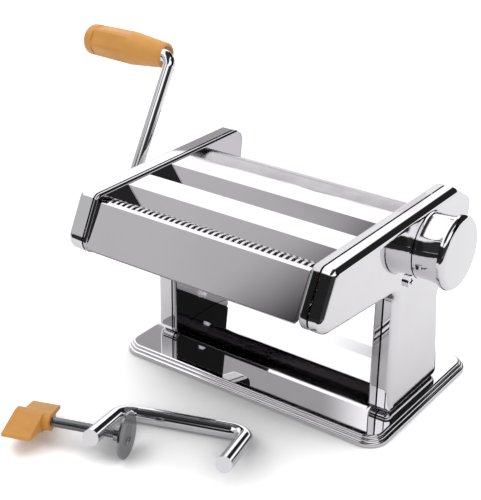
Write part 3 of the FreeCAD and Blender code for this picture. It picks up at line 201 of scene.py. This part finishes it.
def stretched(tree, place, scale):
    """The coordinates drawn out, so that a pattern becomes streaks."""
    return add(tree, "ShaderNodeMapping", {}, {"Vector": place, "Scale": scale})["Vector"]


def noise(tree, place, scale, detail, roughness=0.55):
    inputs = {"Vector": place, "Scale": scale, "Detail": detail, "Roughness": roughness}
    return add(tree, "ShaderNodeTexNoise", {}, inputs)["Fac"]


def mix(tree, factor, first, second):
    """A colour between two colours."""
    return add(tree, "ShaderNodeMix", {"data_type": "RGBA"}, {"Factor": factor, 6: first, 7: second})[2]


def bumped(tree, strength, distance, height):
    inputs = {"Strength": strength, "Distance": distance, "Height": height}
    return add(tree, "ShaderNodeBump", {}, inputs)["Normal"]


print("patterns ready")

# %% [markdown]
# Chrome plate over pressed steel is a mirror with small faults: the sheet is not quite flat, wiping leaves
# fine hazy strokes, and fingers leave soft patches. Painted marks would look like dirt, so the colour stays
# almost even, and roughness and a very low bump carry the story, because that is what the eye reads in a
# reflection. Folded sheets are polished on the outside only, so they go rough wherever the surface looks
# down, and there their colour is painted near black as shade.

# %% Chrome finish
LOOKS_DOWN = -0.12
POLISH = 0.018
# A near-black colour for faces that look down: dull unpolished metal, darkened further as painted shade.
DULL_AND_PAINTED_SHADE = (0.045, 0.045, 0.048)


def split(tree, vector):
    """A vector's X, Y and Z."""
    return add(tree, "ShaderNodeSeparateXYZ", {}, {"Vector": vector})


# This mask carries the painted shade on surfaces that look down.
def underside(tree, edge):
    """1 where the surface looks down, 0 elsewhere."""
    facing = split(tree, add(tree, "ShaderNodeNewGeometry")["Normal"])["Z"]
    return 1.0 - facing.step(LOOKS_DOWN - edge, LOOKS_DOWN)


def make_chrome(name, tint, waviness, haze, dull_and_shaded_below=False):
    material, tree = new_material(name)
    place = object_place(tree)
    patches = noise(tree, place, 24.0, 4.0)
    strokes = noise(tree, stretched(tree, place, (60.0, 700.0, 700.0)), 1.0, 2.0)
    specks = noise(tree, place, 900.0, 2.0)
    marks = patches.step(0.42, 0.8) * 0.6 + strokes.step(0.5, 0.85) * 0.5 + specks.step(0.62, 0.8) * 0.4
    colour = mix(tree, patches.step(0.35, 0.75), tint, [part * 0.965 for part in tint])
    rough = POLISH + haze * marks
    if dull_and_shaded_below:
        # Faces that look down go rougher, and their colour turns to painted shade.
        under = underside(tree, 0.1)
        colour = mix(tree, under, colour, DULL_AND_PAINTED_SHADE)
        rough = rough + under * 0.3
    bump = bumped(tree, 1.0, waviness, noise(tree, place, 16.0, 1.0))
    close_material(tree, {"Base Color": colour, "Metallic": 1.0, "Roughness": rough, "Normal": bump})
    return material


CHROME_TINT = (0.735, 0.722, 0.748)
FOLDED_TINT = (0.738, 0.708, 0.74)
FRAME_TINT = [part * 0.72 for part in CHROME_TINT]
SHEET_SWELL = 0.00012
ROD_SWELL = 0.00002
chrome = make_chrome("chrome_sheet", CHROME_TINT, SHEET_SWELL, 0.045)
folded_chrome = make_chrome("folded_chrome", FOLDED_TINT, SHEET_SWELL, 0.045, dull_and_shaded_below=True)
frame_chrome = make_chrome("frame_chrome", FRAME_TINT, SHEET_SWELL, 0.06)
bright_chrome = make_chrome("chrome_rod", CHROME_TINT, ROD_SWELL, 0.03)
print("chrome:", chrome.name, folded_chrome.name, frame_chrome.name, bright_chrome.name)

# %% [markdown]
# Turned steel shows the lathe: fine rings round the axis. They could be cut into the mesh, but they are far
# too shallow for that. The cutters and rollers all lie along X, so a wave along X bumps rings on every one
# of them, broken up by noise so that no two are alike. On the rollers the side that looks down gets a
# painted shade, so there they go dark.

# %% Turned steel finish
# A near-black colour, painted as shade on the side of the rollers that looks down.
ROLLER_PAINTED_SHADE = (0.05, 0.046, 0.048)


def make_turned_steel(name, tint, ring_scale, base_rough, shaded_below=False):
    material, tree = new_material(name)
    place = object_place(tree)
    settings = {"wave_type": "BANDS", "bands_direction": "X"}
    inputs = {"Vector": place, "Scale": ring_scale, "Distortion": 1.5, "Detail": 3.0, "Detail Scale": 2.0}
    rings = add(tree, "ShaderNodeTexWave", settings, inputs)["Fac"]
    wear = noise(tree, place, 60.0, 4.0)
    grain = noise(tree, stretched(tree, place, (1500.0, 120.0, 120.0)), 1.0, 2.0)
    colour = mix(tree, wear.step(0.3, 0.8), tint, [part * 0.86 for part in tint])
    # The side that looks down is painted dark as shade.
    if shaded_below:
        colour = mix(tree, underside(tree, 0.2), colour, ROLLER_PAINTED_SHADE)
    rough = base_rough + wear.step(0.35, 0.8) * 0.08 + grain * 0.06
    bump = bumped(tree, 0.25, 0.00004, rings * 0.5 + grain * 0.5)
    close_material(tree, {"Base Color": colour, "Metallic": 1.0, "Roughness": rough, "Normal": bump})
    return material


CUTTER_TINT = (0.66, 0.65, 0.67)
ROLLER_TINT = (0.44, 0.425, 0.445)
ZINC_TINT = (0.58, 0.575, 0.6)
CLAMP_TINT = (0.33, 0.33, 0.345)
turned_steel = make_turned_steel("turned_steel", CUTTER_TINT, 900.0, 0.14)
ground_roller = make_turned_steel("ground_roller", ROLLER_TINT, 1600.0, 0.16, shaded_below=True)
zinc_screw = make_turned_steel("zinc_screw", ZINC_TINT, 500.0, 0.22)
clamp_steel = make_turned_steel("clamp_steel", CLAMP_TINT, 500.0, 0.16)
print("steel:", turned_steel.name, ground_roller.name, zinc_screw.name, clamp_steel.name)

# %% [markdown]
# Bushes are pressed from bronze powder, so they look grainy and dry, with darker oil in their pores. The
# rubber feet are grainy too, so one function makes both, and only its colours and depth differ.

# %% Bush bronze and foot rubber
def make_grainy(name, light, dark, metallic, rough_low, rough_high, depth):
    material, tree = new_material(name)
    place = object_place(tree)
    grain = noise(tree, place, 1400.0, 3.0, 0.7)
    stain = noise(tree, place, 90.0, 4.0)
    colour = mix(tree, grain.step(0.35, 0.7) * 0.5 + stain.step(0.4, 0.8) * 0.5, light, dark)
    rough = rough_low + grain * (rough_high - rough_low)
    bump = bumped(tree, 0.4, depth, grain)
    close_material(tree, {"Base Color": colour, "Metallic": metallic, "Roughness": rough, "Normal": bump})
    return material


DRY_BRONZE = (0.62, 0.45, 0.24)
OILED_BRONZE = (0.36, 0.24, 0.12)
WORN_RUBBER = (0.035, 0.034, 0.033)
BLACK_RUBBER = (0.018, 0.018, 0.018)
bronze = make_grainy("pressed_bronze", DRY_BRONZE, OILED_BRONZE, 1.0, 0.35, 0.55, 0.00006)
rubber = make_grainy("foot_rubber", WORN_RUBBER, BLACK_RUBBER, 0.0, 0.6, 0.85, 0.00008)
print("grainy:", bronze.name, rubber.name)

# %% [markdown]
# The crank grip and clamp wing are moulded in tan plastic. One flat colour would look like paint. The skin
# has a fine matt grain, the colour clouds a little where the melt flowed, and it is slightly glossier where
# hands have rubbed it.

# %% Tan plastic finish
PALE_TAN = (0.70, 0.335, 0.075)
DEEP_TAN = (0.6, 0.265, 0.052)


def make_tan():
    material, tree = new_material("tan_moulding")
    place = object_place(tree)
    clouds = noise(tree, place, 45.0, 4.0)
    flow = noise(tree, stretched(tree, place, (30.0, 160.0, 160.0)), 1.0, 3.0)
    grain = noise(tree, place, 2600.0, 2.0)
    cloudy = clouds.step(0.3, 0.75) * 0.6 + flow.step(0.35, 0.75) * 0.4
    colour = mix(tree, cloudy, PALE_TAN, DEEP_TAN)
    rough = 0.36 + clouds.step(0.35, 0.8) * 0.12 + grain * 0.08
    bump = bumped(tree, 0.22, 0.00005, grain * 0.7 + flow * 0.3)
    close_material(tree, {
        "Base Color": colour, "Roughness": rough, "Normal": bump, "Specular IOR Level": 0.42,
        "Subsurface Weight": 0.06, "Subsurface Radius": (0.004, 0.002, 0.001)})
    return material


tan = make_tan()
print("plastic:", tan.name)

# %% [markdown]
# The frame arrives as loose triangles, which shade as facets, and polished metal needs smooth shading. A
# single angle could choose the creases, but a slight fold between two broad faces would then bend a whole
# reflection. So a crease is every steep edge, and every slight fold whose faces are both broad.

# %% Creases
STEEP = math.radians(34.0)
SLIGHT = math.radians(5.0)
BROAD = 0.0012
SHORTEST = 1e-9


def is_crease(edge):
    if len(edge.link_faces) != 2:
        return True
    angle = edge.calc_face_angle(0.0)
    area = min(face.calc_area() for face in edge.link_faces)
    width = area / max(edge.calc_length(), SHORTEST)
    return angle > STEEP or (angle > SLIGHT and width > BROAD)


print("slight folds from mm:", BROAD * 1000)

# %% [markdown]
# Each node is copied, its doubles merged, its faces set smooth and its creases marked. Weighted normals keep
# the wide flat sheets flat beside their rounded edges. The copy then stands for the node and rides on its
# body. The crank is kept out of mirrors, so that the side covers stay clean.

# %% Smooth copies
SAME_POINT = 2e-6
SLIVER = 1e-7
EVEN_WEIGHT = 50
NOT_MIRRORED = ("crank_grip", "crank_arm")


def smooth_copy(node, material):
    mesh = bpy.data.meshes.new(node + "_smooth")
    form = bmesh.new()
    form.from_mesh(frame["nodes"][node].data)
    bmesh.ops.remove_doubles(form, verts=form.verts, dist=SAME_POINT)
    bmesh.ops.dissolve_degenerate(form, edges=form.edges, dist=SLIVER)
    for face in form.faces:
        face.smooth = True
        face.material_index = 0
    for edge in form.edges:
        edge.smooth = not is_crease(edge)
    form.to_mesh(mesh)
    form.free()
    mesh.materials.append(material)
    piece = show(node + "_smooth", mesh)
    weighted = piece.modifiers.new("flat_sheets", "WEIGHTED_NORMAL")
    weighted.keep_sharp = True
    weighted.weight = EVEN_WEIGHT
    piece.visible_glossy = node not in NOT_MIRRORED
    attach(piece, BODY_OF[node])
    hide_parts(node)
    return piece


print("kept out of mirrors:", *NOT_MIRRORED)

# %% [markdown]
# A table says which pieces share a finish. Each row has the slot that the frame names, the material made for
# it above, and the nodes that wear it, so a finish is changed in one place.

# %% Finish of every node
FINISHES = (
    ("chrome_plate", chrome, ("base_tray", "left_cover", "right_cover")),
    ("machined_steel", turned_steel, (
        "tie_rods", "pivot_rod", "pivot_sleeves", "drive_gear", "front_gear", "wide_driver_gear",
        "wide_follower_gear", "thin_driver_gear", "thin_follower_gear", "wide_cutter_driver",
        "wide_cutter_follower", "thin_cutter_driver", "thin_cutter_follower", "left_rocker", "right_rocker",
        "gap_cam", "knob_spindle")),
    ("bearing_bronze", bronze, ("shaft_bushes", "socket_bushes", "knob_bush")),
    ("tan_plastic", tan, ("crank_grip", "clamp_wing")),
    ("black_rubber", rubber, ("rubber_feet",)),
    ("chrome_plate", folded_chrome, ("middle_guard", "rear_guard", "hopper_plate", "front_plate")),
    ("chrome_plate", frame_chrome, ("left_frame_plate", "right_frame_plate")),
    ("chrome_plate", bright_chrome, ("knob", "crank_arm", "clamp_bar", "clamp_socket", "cover_screws")),
    ("chrome_plate", ground_roller, ("drive_roller", "front_roller")),
    ("machined_steel", zinc_screw, ("base_screws", "base_nuts", "tie_rod_screws")),
    ("machined_steel", clamp_steel, ("clamp_screw", "clamp_disc")),
)
for slot, material, nodes in FINISHES:
    for node in nodes:
        smooth_copy(node, material)
print("smooth copies:", sum(len(nodes) for _, _, nodes in FINISHES))

# %% [markdown]
# Under the knob a coil spring pulls it home. A curve with a round section could draw it, but a ring of wire,
# spun round the spindle while it climbs a little at every step, gives the coil in one operator. It flattens
# against its clip when the knob is pulled out.

# %% Knob spring
WIRE = 0.00045
TURNS = 5
STEPS = 24 * TURNS
low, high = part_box("knob_spring")
middle = (Vector(low) + Vector(high)) / 2
reach = (high[2] - low[2]) / 2 - WIRE
start = Vector((low[0] + WIRE, middle.y, middle.z))
climb = (high[0] - low[0] - 2 * WIRE) / STEPS
form = bmesh.new()
wire_place = Matrix.Translation(start + Vector((0.0, reach, 0.0)))
bmesh.ops.create_circle(form, cap_ends=False, segments=12, radius=WIRE, matrix=wire_place)
bmesh.ops.spin(
    form, geom=form.verts[:] + form.edges[:], cent=start, axis=(1.0, 0.0, 0.0), dvec=(climb, 0.0, 0.0),
    angle=2 * math.pi * TURNS, steps=STEPS, use_duplicate=False)
bmesh.ops.holes_fill(form, edges=[edge for edge in form.edges if edge.is_boundary], sides=0)
bmesh.ops.recalc_face_normals(form, faces=form.faces)
for face in form.faces:
    face.smooth = len(face.verts) == 4
spring_mesh = bpy.data.meshes.new("knob_spring_coil")
form.to_mesh(spring_mesh)
form.free()
spring_mesh.materials.append(zinc_screw)
spring = show("knob_spring_coil", spring_mesh)
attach(spring, BODY_OF["knob_spring"])
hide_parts("knob_spring")
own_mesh(spring)
print("spring faces:", len(spring_mesh.polygons))

# %% [markdown]
# The machine stands on a wide white sheet with no edge in view. A plane that is only lit would turn grey far
# away, so this one is also given a shine of its own in the next step.

# %% Floor sheet
FLOOR_HALF = 12.0
floor_mesh = bpy.data.meshes.new("floor")
sheet = bmesh.new()
bmesh.ops.create_grid(sheet, x_segments=1, y_segments=1, size=FLOOR_HALF)
sheet.to_mesh(floor_mesh)
sheet.free()
floor = show("floor", floor_mesh)
print("floor side m:", 2 * FLOOR_HALF)

# %% [markdown]
# The sheet shines a little where the camera looks at it, so the page stays white, and takes the rest of its
# brightness from the lights, so it keeps the soft shadow. Close under the pieces that shine fades, a painted
# contact shadow which grounds them. In mirrors the sheet ends a little before the camera, as a table does,
# and the dark room follows.

# %% Floor paint
FLOOR_WHITE = (0.9, 0.9, 0.9)
FLOOR_GREY = (0.88, 0.88, 0.885)
FLOOR_SHINE = 0.5
SHADOW_REACH = 0.3
SHADOW_FADE = (0.44, 0.65)
ROOM_DARK = (0.03, 0.03, 0.032)
TABLE_END = (-0.4, -0.32)
WHITE = (1.0, 1.0, 1.0)


def shining(tree, colour, strength):
    return add(tree, "ShaderNodeEmission", {}, {"Color": colour, "Strength": strength})["Emission"]


floor_paint, tree = new_material("floor_paint")
path = add(tree, "ShaderNodeLightPath")
open_air = add(tree, "ShaderNodeAmbientOcclusion", {"samples": 8}, {"Distance": SHADOW_REACH})["AO"]
looked_at = path["Is Camera Ray"] + path["Is Transmission Ray"]
spot = object_place(tree)
paint = mix(tree, noise(tree, spot, 6.0, 4.0), FLOOR_WHITE, FLOOR_GREY)
matt = add(tree, "ShaderNodeBsdfDiffuse", {}, {"Color": paint})["BSDF"]
# The glow dims close under the pieces: a painted contact shadow.
glow = shining(tree, WHITE, looked_at * open_air.step(*SHADOW_FADE) * FLOOR_SHINE)
both = add(tree, "ShaderNodeAddShader", {}, {0: matt, 1: glow})["Shader"]
beyond = path["Is Glossy Ray"] * (1.0 - split(tree, spot)["Y"].step(*TABLE_END))
dark = shining(tree, ROOM_DARK, 1.0)
sheet_look = add(tree, "ShaderNodeMixShader", {}, {0: beyond, 1: both, 2: dark})["Shader"]
add(tree, "ShaderNodeOutputMaterial", {}, {"Surface": sheet_look})
floor_mesh.materials.append(floor_paint)
print("floor nodes:", len(tree.nodes))

# %% [markdown]
# A mirror shows only its surroundings, so a chrome machine needs a planned room. Cards and walls could be
# built round it, but a room painted by direction is easier to tune. The axes are turned, so that one runs
# roughly across the picture and the other away from the camera.

# %% Directions in the room
TURN_EAST = 0.57
TURN_NORTH = 0.82
world = bpy.data.worlds.new("studio_room")
bpy.context.scene.world = world
world.use_nodes = True
tree = world.node_tree
tree.nodes.clear()
direction = split(tree, add(tree, "ShaderNodeTexCoord")["Generated"])
east = direction["X"]
height = direction["Z"]
across = east * TURN_EAST + direction["Y"] * TURN_NORTH
away = direction["Y"] * TURN_EAST - east * TURN_NORTH
print("direction nodes:", len(tree.nodes))

# %% [markdown]
# The walls are white. A dark flag at the back right, a dark strip overhead, a dark gap beside the camera and
# the dark room behind it draw the black lines along every rounded edge. The ceiling is white at the left.

# %% White walls and dark flags
WALL_WHITE = 1.45
FLAG_DARK = 1.43
GAP_DARK = 0.96
NIGHT_DARK = 0.97
SKY_EDGE = (0.6, 0.74)
SKY_LEFT = (-0.36, -0.3)
SKY_RIGHT = (0.32, 0.42)
sky = height.step(*SKY_EDGE)
overhead = sky * (1.0 - east.step(*SKY_LEFT))
dark_sky = sky * east.band(*SKY_LEFT, *SKY_RIGHT)
back_flag = across.step(0.46, 0.56) * height.step(0.06, 0.14) * (1.0 - overhead)
beside_camera = away.band(-0.57, -0.45, -0.32, -0.2) * height.band(0.02, 0.1, 0.8, 0.88)
behind_camera = (1.0 - away.step(-0.7, -0.6)) * height.band(-0.02, 0.02, 0.44, 0.54)
walls = (WALL_WHITE - back_flag * FLAG_DARK) * (1.0 - beside_camera * GAP_DARK)
walls = walls * (1.0 - dark_sky * NIGHT_DARK) * (1.0 - behind_camera * NIGHT_DARK)
print("wall nodes:", len(tree.nodes))

# %% [markdown]
# The front wall fades from pale grey at the left to black beside the camera. One even grey would make the
# front plate look flat; with this fade it shows a slow change from end to end.

# %% Front wall
FRONT_GREY = 0.6
FRONT_BLACK = 0.02
front_top = 1.0 - height.step(0.44, 0.54)
front_fade = away.step(-0.45, 0.1) * (away + height * 0.5).step(0.1, 0.185) * front_top
front_tone = front_fade * FRONT_GREY + FRONT_BLACK
front_side = (1.0 - across.step(-0.54, -0.38)) * (1.0 - height.step(0.48, 0.54)) * (1.0 - overhead)
room = walls * (1.0 - front_side) + front_tone * front_side
print("front wall nodes:", len(tree.nodes))

# %% [markdown]
# Only reflections see this room, because its dark parts would also dim the matt pieces. Those get plain even
# light from every side, and the camera sees white.

# %% Who sees the room
PLAIN_LIGHT = 0.95
path = add(tree, "ShaderNodeLightPath")
by_camera = path["Is Camera Ray"]
strength = PLAIN_LIGHT + path["Is Glossy Ray"] * (room - PLAIN_LIGHT)
strength = strength * (1.0 - by_camera) + by_camera
background = add(tree, "ShaderNodeBackground", {}, {"Color": WHITE, "Strength": strength})["Background"]
add(tree, "ShaderNodeOutputWorld", {}, {"Surface": background})
print("room nodes:", len(tree.nodes))

# %% [markdown]
# One large soft lamp stands high behind the machine, as a softbox would. A sun would draw hard edges; this
# gives the matt pieces gentle light and dark sides and lets a faint shadow fall forward. It is hidden from
# reflections, which the room serves.

# %% Softbox
LIT_POINT = Vector((0.0, -0.03, 0.08))
softbox = show("softbox", bpy.data.lights.new("softbox", "AREA"))
softbox.data.shape = "DISK"
softbox.data.size = 0.9
softbox.data.energy = 4.5
softbox.visible_glossy = False
softbox.location = (0.25, 0.6, 1.2)
softbox.rotation_euler = (LIT_POINT - softbox.location).to_track_quat("-Z", "Y").to_euler()
print("softbox watts:", softbox.data.energy)

# %% [markdown]
# The tray's front strip is a flat mirror that looks out under the machine. The painted room is far away and
# cannot give it a tone of its own, so a grey card stands close behind, seen only in reflections; the card
# pales towards the knob side.

# %% Grey card
CARD_LEFT, CARD_RIGHT = -0.5, -0.06
CARD_LOW, CARD_HIGH = 0.248, 0.292
CARD_Y = 0.3
CARD_GREY = 0.4
CARD_PALER = 0.8
CARD_FADE = (-0.16, -0.1)
card_mesh = bpy.data.meshes.new("grey_card")
form = bmesh.new()
corners = [
    (CARD_LEFT, CARD_Y, CARD_LOW),
    (CARD_RIGHT, CARD_Y, CARD_LOW),
    (CARD_RIGHT, CARD_Y, CARD_HIGH),
    (CARD_LEFT, CARD_Y, CARD_HIGH),
]
form.faces.new([form.verts.new(corner) for corner in corners])
form.to_mesh(card_mesh)
form.free()
card = show("grey_card", card_mesh)
card.visible_camera = False
card.visible_diffuse = False
card.visible_shadow = False
card.visible_transmission = False
card_paint, tree = new_material("card_paint")
spot = object_place(tree)
grain = noise(tree, spot, 300.0, 3.0)
tone = CARD_GREY + split(tree, spot)["X"].step(*CARD_FADE) * CARD_PALER + grain * 0.06
add(tree, "ShaderNodeOutputMaterial", {}, {"Surface": shining(tree, (1.0, 0.98, 1.0), tone)})
card_mesh.materials.append(card_paint)
print("card corners:", len(card_mesh.vertices))
